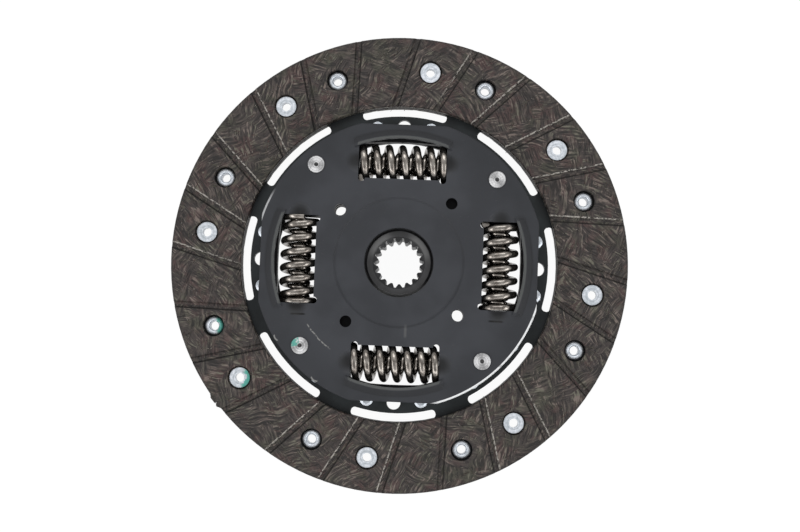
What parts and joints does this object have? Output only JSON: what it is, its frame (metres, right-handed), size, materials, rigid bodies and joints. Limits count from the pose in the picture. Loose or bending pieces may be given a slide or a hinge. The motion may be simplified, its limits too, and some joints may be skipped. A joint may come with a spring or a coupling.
{
  "type": "clutch disc",
  "caption": "Clutch friction disc with grooved riveted facings on a cushion sheet, around a torsion damper with coil springs in windows and a splined hub.",
  "frame": {"origin": "on the axis of the hub, at the hub's rear end face, which is the lowest point of the part", "axes": "+Z along the hub's axis towards the front, where the cover plate with its flats is; +Y through the middle of one spring window"},
  "size_m": [0.2, 0.2, 0.0264],
  "materials": {
    "friction_lining": "pressed fibre and resin, matt, dark brown grey",
    "cushion_steel": "blackened spring steel, satin",
    "blackened_plate": "phosphated black, satin",
    "flange_steel": "blackened, satin",
    "hub_steel": "turned and phosphated",
    "spring_steel": "shot-peened, dark bronze grey",
    "zinc_rivet": "zinc plated, satin",
    "pin_steel": "headed over, bright",
    "friction_plastic": "moulded, matt"
  },
  "bodies": {
    "hub_side": {"hub": "hub_steel", "hub_flange": "flange_steel"},
    "driven_side": {"front_facing": "friction_lining", "rear_facing": "friction_lining", "cushion_disc": "cushion_steel", "rear_drive_plate": "blackened_plate", "front_cover_plate": "blackened_plate", "hub_bush": "friction_plastic", "front_facing_rivets": "zinc_rivet", "rear_facing_rivets": "zinc_rivet", "cushion_disc_rivets": "zinc_rivet", "front_friction_washer": "friction_plastic", "rear_friction_washer": "friction_plastic", "support_ring": "cushion_steel", "belleville_washer": "spring_steel", "stop_pin_1": "pin_steel", "stop_pin_2": "pin_steel", "stop_pin_3": "pin_steel", "stop_pin_4": "pin_steel"},
    "spring_set": {"damper_spring_1": "spring_steel", "damper_spring_2": "spring_steel", "damper_spring_3": "spring_steel", "damper_spring_4": "spring_steel", "inner_spring_1": "spring_steel", "inner_spring_2": "spring_steel", "inner_spring_3": "spring_steel", "inner_spring_4": "spring_steel"}
  },
  "joints": [
    {"name": "damper_wind", "type": "hinge", "parent": "hub_side", "child": "driven_side", "pos_m": [0, 0, 0.0179], "axis": [0, 0, 1], "range_deg": [-4.1, 9.5], "stiffness_Nm_per_rad": 1.5, "deforming": ["damper_spring_1", "damper_spring_2", "damper_spring_3", "damper_spring_4", "inner_spring_1", "inner_spring_2", "inner_spring_3", "inner_spring_4"]},
    {"name": "spring_float", "type": "hinge", "parent": "hub_side", "child": "spring_set", "pos_m": [0, 0, 0.0179], "axis": [0, 0, 1], "range_deg": [-2.1, 4.8], "deforming": ["damper_spring_1", "damper_spring_2", "damper_spring_3", "damper_spring_4", "inner_spring_1", "inner_spring_2", "inner_spring_3", "inner_spring_4"]}
  ],
  "couplings": [
    {"joint": "spring_float", "follows": "damper_wind", "ratio": 0.5}
  ]
}
